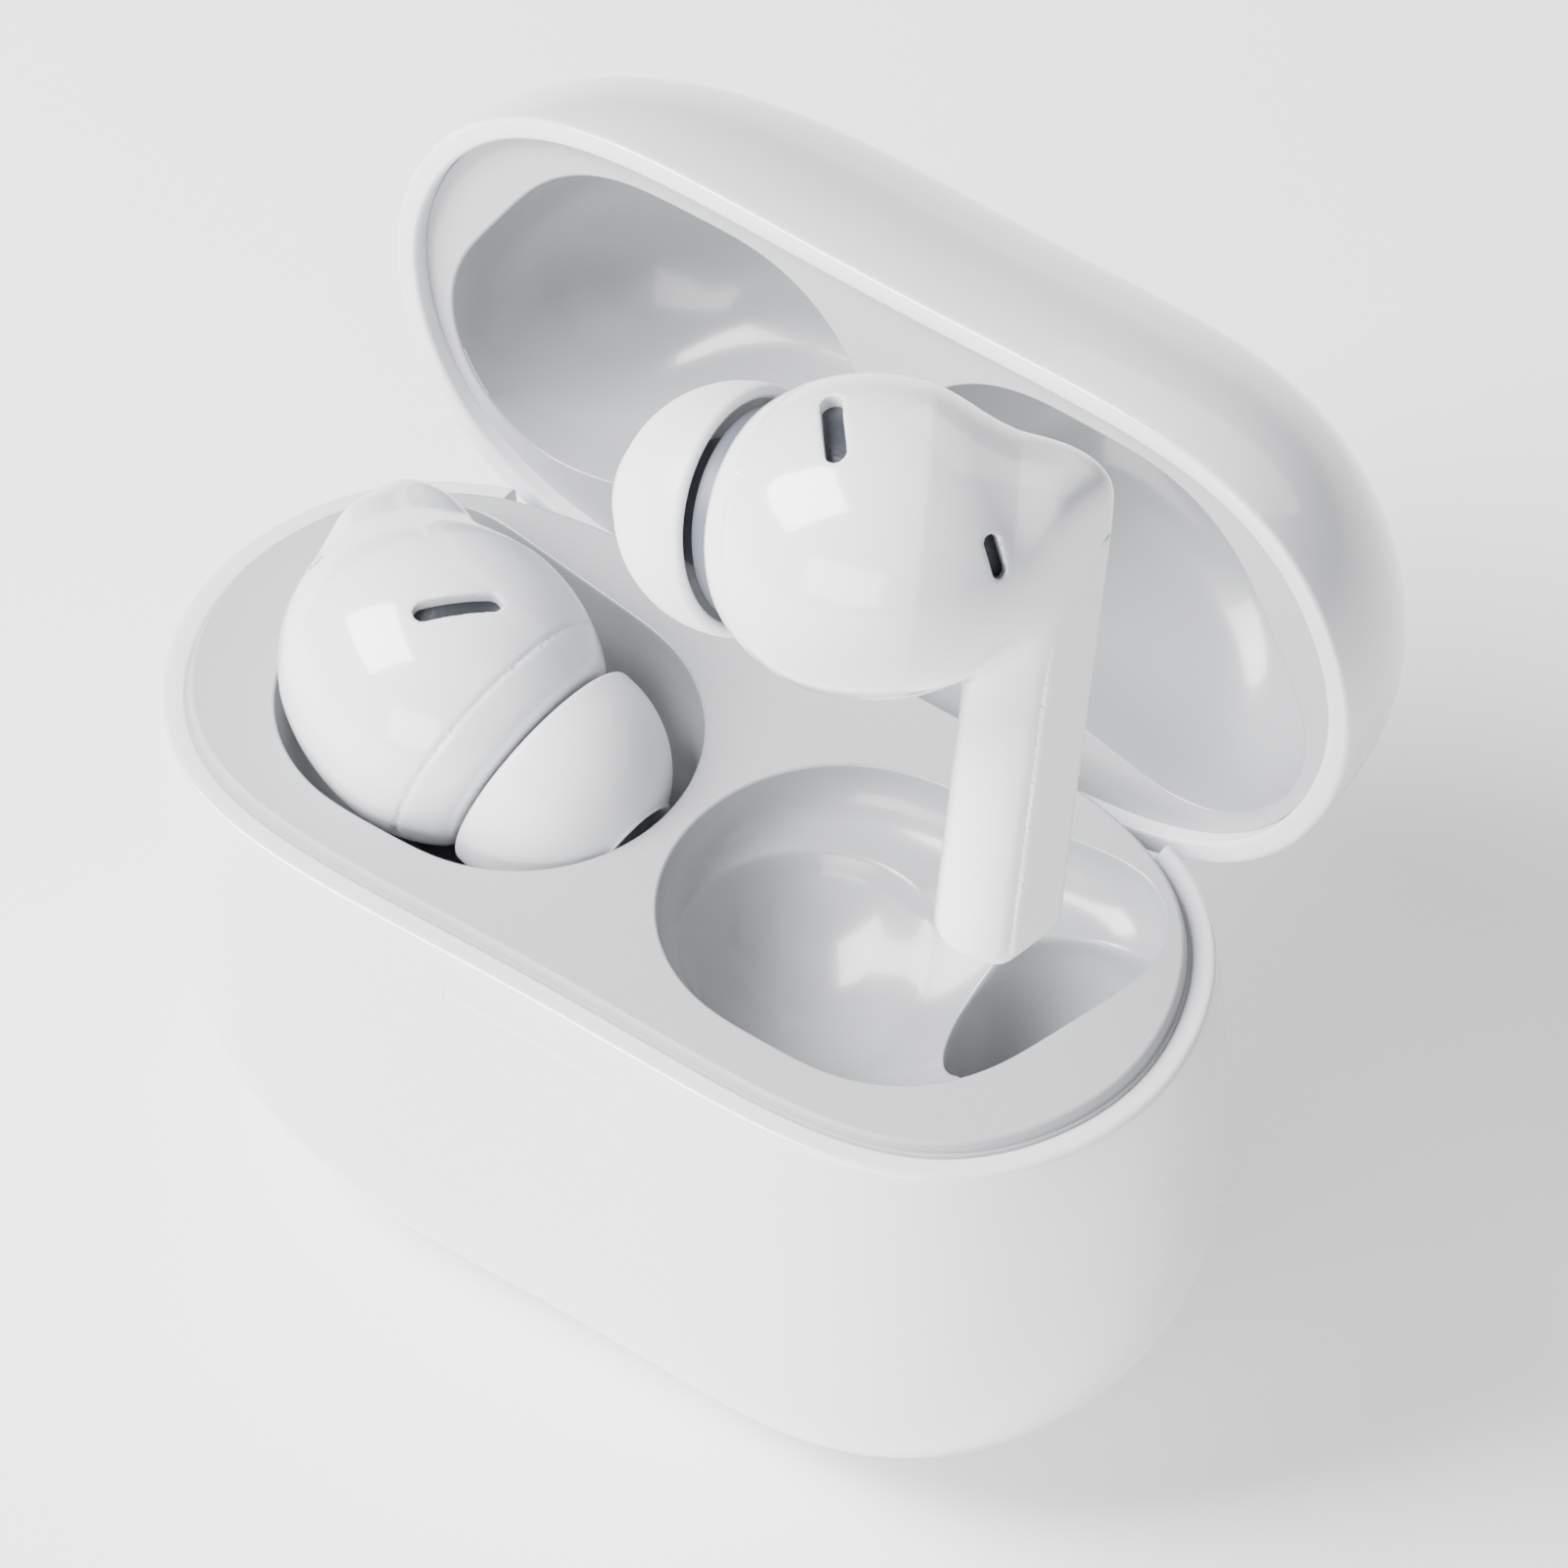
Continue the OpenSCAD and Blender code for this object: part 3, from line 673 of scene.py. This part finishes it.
def earbud(side, rest, name):
    """One earbud's pieces; side is 1 for the right one, whose tip sits further out."""
    body = "earbud_" + name
    node = "bud_" + name + "_"
    low, high = (3.5, -11, -24), (26.5, 10, 13.5)
    v, f = surface_net(bud_with_slots, low, high, 0.17)
    shell = make(name + " earbud shell", v, f, rest, sharp=50)
    dress(shell, body, "gloss_white", node + "shell")
    place = nozzle_place(TIP_AT)
    pulled = nozzle_place(TIP_AT + TIP_GAP[side > 0] * NOZZLE)

    # The ear tip: a dome with a rolled skirt over a dark inner sleeve, which is painted shade inside the
    # skirt
    roll_r, bore_at = 0.36, 1.12
    dome = [(TIP_R * np.cos(a), TIP_DOME * np.sin(a) / np.sin(bore_at))
            for a in np.linspace(0, bore_at, 40)]
    mouth = arc(2.75, TIP_DOME - 0.15, 0.3, 60, 180, 8)
    inside = [((TIP_R - 0.75) * np.cos(a), (TIP_DOME - 0.8) * np.sin(a))
              for a in np.linspace(1.0, 0, 24)]
    roll = arc(TIP_R - roll_r, -0.35, roll_r, 180, 360, 12)
    profile = dome + mouth + [(2.45, 3.6), (3.2, 3.4)] + inside + roll
    v, f = turned(profile, 160)
    tip = make(name + " ear tip", pulled(v), f, rest, sharp=60)
    dress(tip, body, "silicone", node + "ear_tip")
    sleeve = arc(5.1, -0.7, 0.25, -90, 0, 8)
    sleeve += [(5.35, 0.4), (3.6, 1.4), (3.2, 3.3), (2.5, 3.3), (2.5, -0.95)]
    v, f = turned(sleeve, 96)
    # Painted shade: the sleeve inside the skirt is dark
    dress(make(name + " tip sleeve", place(v), f, rest), body, "silicone", look=SHADE_SLATE)

    # The nozzle's tube
    tube = [(2.4, -4.0), (2.4, 4.5), (1.9, 4.6), (1.9, -4.0)]
    v, f = turned(tube, 96)
    dress(make(name + " nozzle", place(v), f, rest), body, "gloss_white")

    for slot, label, stands in ((VENT, "vent mesh", "vent_mesh"), (MIC, "mic mesh", "mic_mesh")):
        at, along, out, half, r = slot

        def sunk(p, at=at, along=along, out=out, half=half, r=r):
            d = bud_field(p)
            skin = np.maximum(d + 0.75, -(d + 1.2))
            return np.maximum(skin, slot_field(p, at, along, out, half + 0.2, r + 0.2))
        reach = half + r + 1
        v, f = surface_net(sunk, at - reach, at + reach, 0.12)
        dress(make(name + " " + label, v, f, rest, sharp=40), body, "dark_mesh", node + stands)

    # Two charging pads flush with the stem's foot
    out_way = np.cross([0, np.cos(LEAN), -np.sin(LEAN)], STEM_AXIS)
    frame_of = np.array([out_way, np.cross(STEM_AXIS, out_way), STEM_AXIS])
    pads = []
    for x in (-0.75, 0.75):
        v, f = turned([(0.01, -0.4), (0.45, -0.4), (0.5, -0.35), (0.5, 0.5), (0.01, 0.5)], 32)
        pads.append((v @ frame_of + STEM_FOOT + x * out_way, f))
    v, f = join_meshes(pads)
    dress(make(name + " contacts", v, f, rest), body, "gold", node + "contacts")

    def cap(p):
        out, across, up = in_stem(p)
        shape = np.maximum(np.abs(across) - 2.1, np.abs(up - 12.2) - 11.8)
        d = np.maximum(out - 2.42, 2.0 - out)
        return soft_max(shape, d, 0.3)
    v, f = surface_net(cap, (22.0, -11, -24), (25.5, 9, 9), 0.2)
    dress(make(name + " stem cap", v, f, rest), body, "gloss_white", node + "stem_cap")


base_shell()
inner_tray()
lid_shell()
lid_liner()
earbud(-1, left_seat, "left")
earbud(1, right_float, "right")

# ---------------------------------------------------------------- floor, light and camera
floor_mesh = bpy.data.meshes.new("floor")
reach = 3.0
floor_mesh.from_pydata([(-reach, -reach, 0), (reach, -reach, 0), (reach, reach, 0), (-reach, reach, 0)],
                       [], [(0, 1, 2, 3)])
floor = bpy.data.objects.new("floor", floor_mesh)
bpy.context.scene.collection.objects.link(floor)
floor_look = material("white floor", (0.96, 0.96, 0.965), 0.9)
shine = floor_look.node_tree.nodes["Principled BSDF"].inputs
shine["Emission Color"].default_value = (1, 1, 1, 1)
shine["Emission Strength"].default_value = 0.35
floor.data.materials.append(floor_look)

world = bpy.data.worlds.new("studio")
bpy.context.scene.world = world
world.use_nodes = True
world.node_tree.nodes["Background"].inputs["Color"].default_value = (0.97, 0.98, 1.0, 1)
world.node_tree.nodes["Background"].inputs["Strength"].default_value = 0.2

# The view: turned right of the front, looking down
AZ, EL, ROLL = np.radians([39.176, 49.632, -3.146])
back = np.array([np.sin(AZ) * np.cos(EL), -np.cos(AZ) * np.cos(EL), np.sin(EL)])
level = np.array([np.cos(AZ), np.sin(AZ), 0])
upright = np.cross(back, level)
right = level * np.cos(ROLL) + upright * np.sin(ROLL)
up = -level * np.sin(ROLL) + upright * np.cos(ROLL)
middle = np.array([0, 0, RIM_Z])
eye = middle + 5.09 * right + 2.10 * up + 1041.4 * back
cam_data = bpy.data.cameras.new("camera")
cam_data.sensor_width = 36
cam_data.lens = 472.2
cam_data.clip_end = 20
cam = bpy.data.objects.new("camera", cam_data)
bpy.context.scene.collection.objects.link(cam)
cam.matrix_world = Matrix([[*(right[i], up[i], back[i], eye[i] * MM)] for i in range(3)] + [[0, 0, 0, 1]])
bpy.context.scene.camera = cam


def softbox(name, at, size, power, aim=(0, 0, 30)):
    """A square area light that faces a point, all in millimetres."""
    data = bpy.data.lights.new(name, "AREA")
    data.shape, data.size, data.size_y, data.energy = "RECTANGLE", size[0] * MM, size[1] * MM, power
    lamp = bpy.data.objects.new(name, data)
    bpy.context.scene.collection.objects.link(lamp)
    lamp.location = Vector(at) * MM
    way = (Vector(at) - Vector(aim)).normalized()
    lamp.rotation_euler = way.to_track_quat("Z", "Y").to_euler()


softbox("key", (-260, -220, 420), (300, 300), 9.5)
softbox("front fill", (60, -420, 160), (300, 200), 1.9)
softbox("side", (420, 40, 220), (200, 200), 0.1)
softbox("back", (0, 420, 300), (420, 260), 0.8)
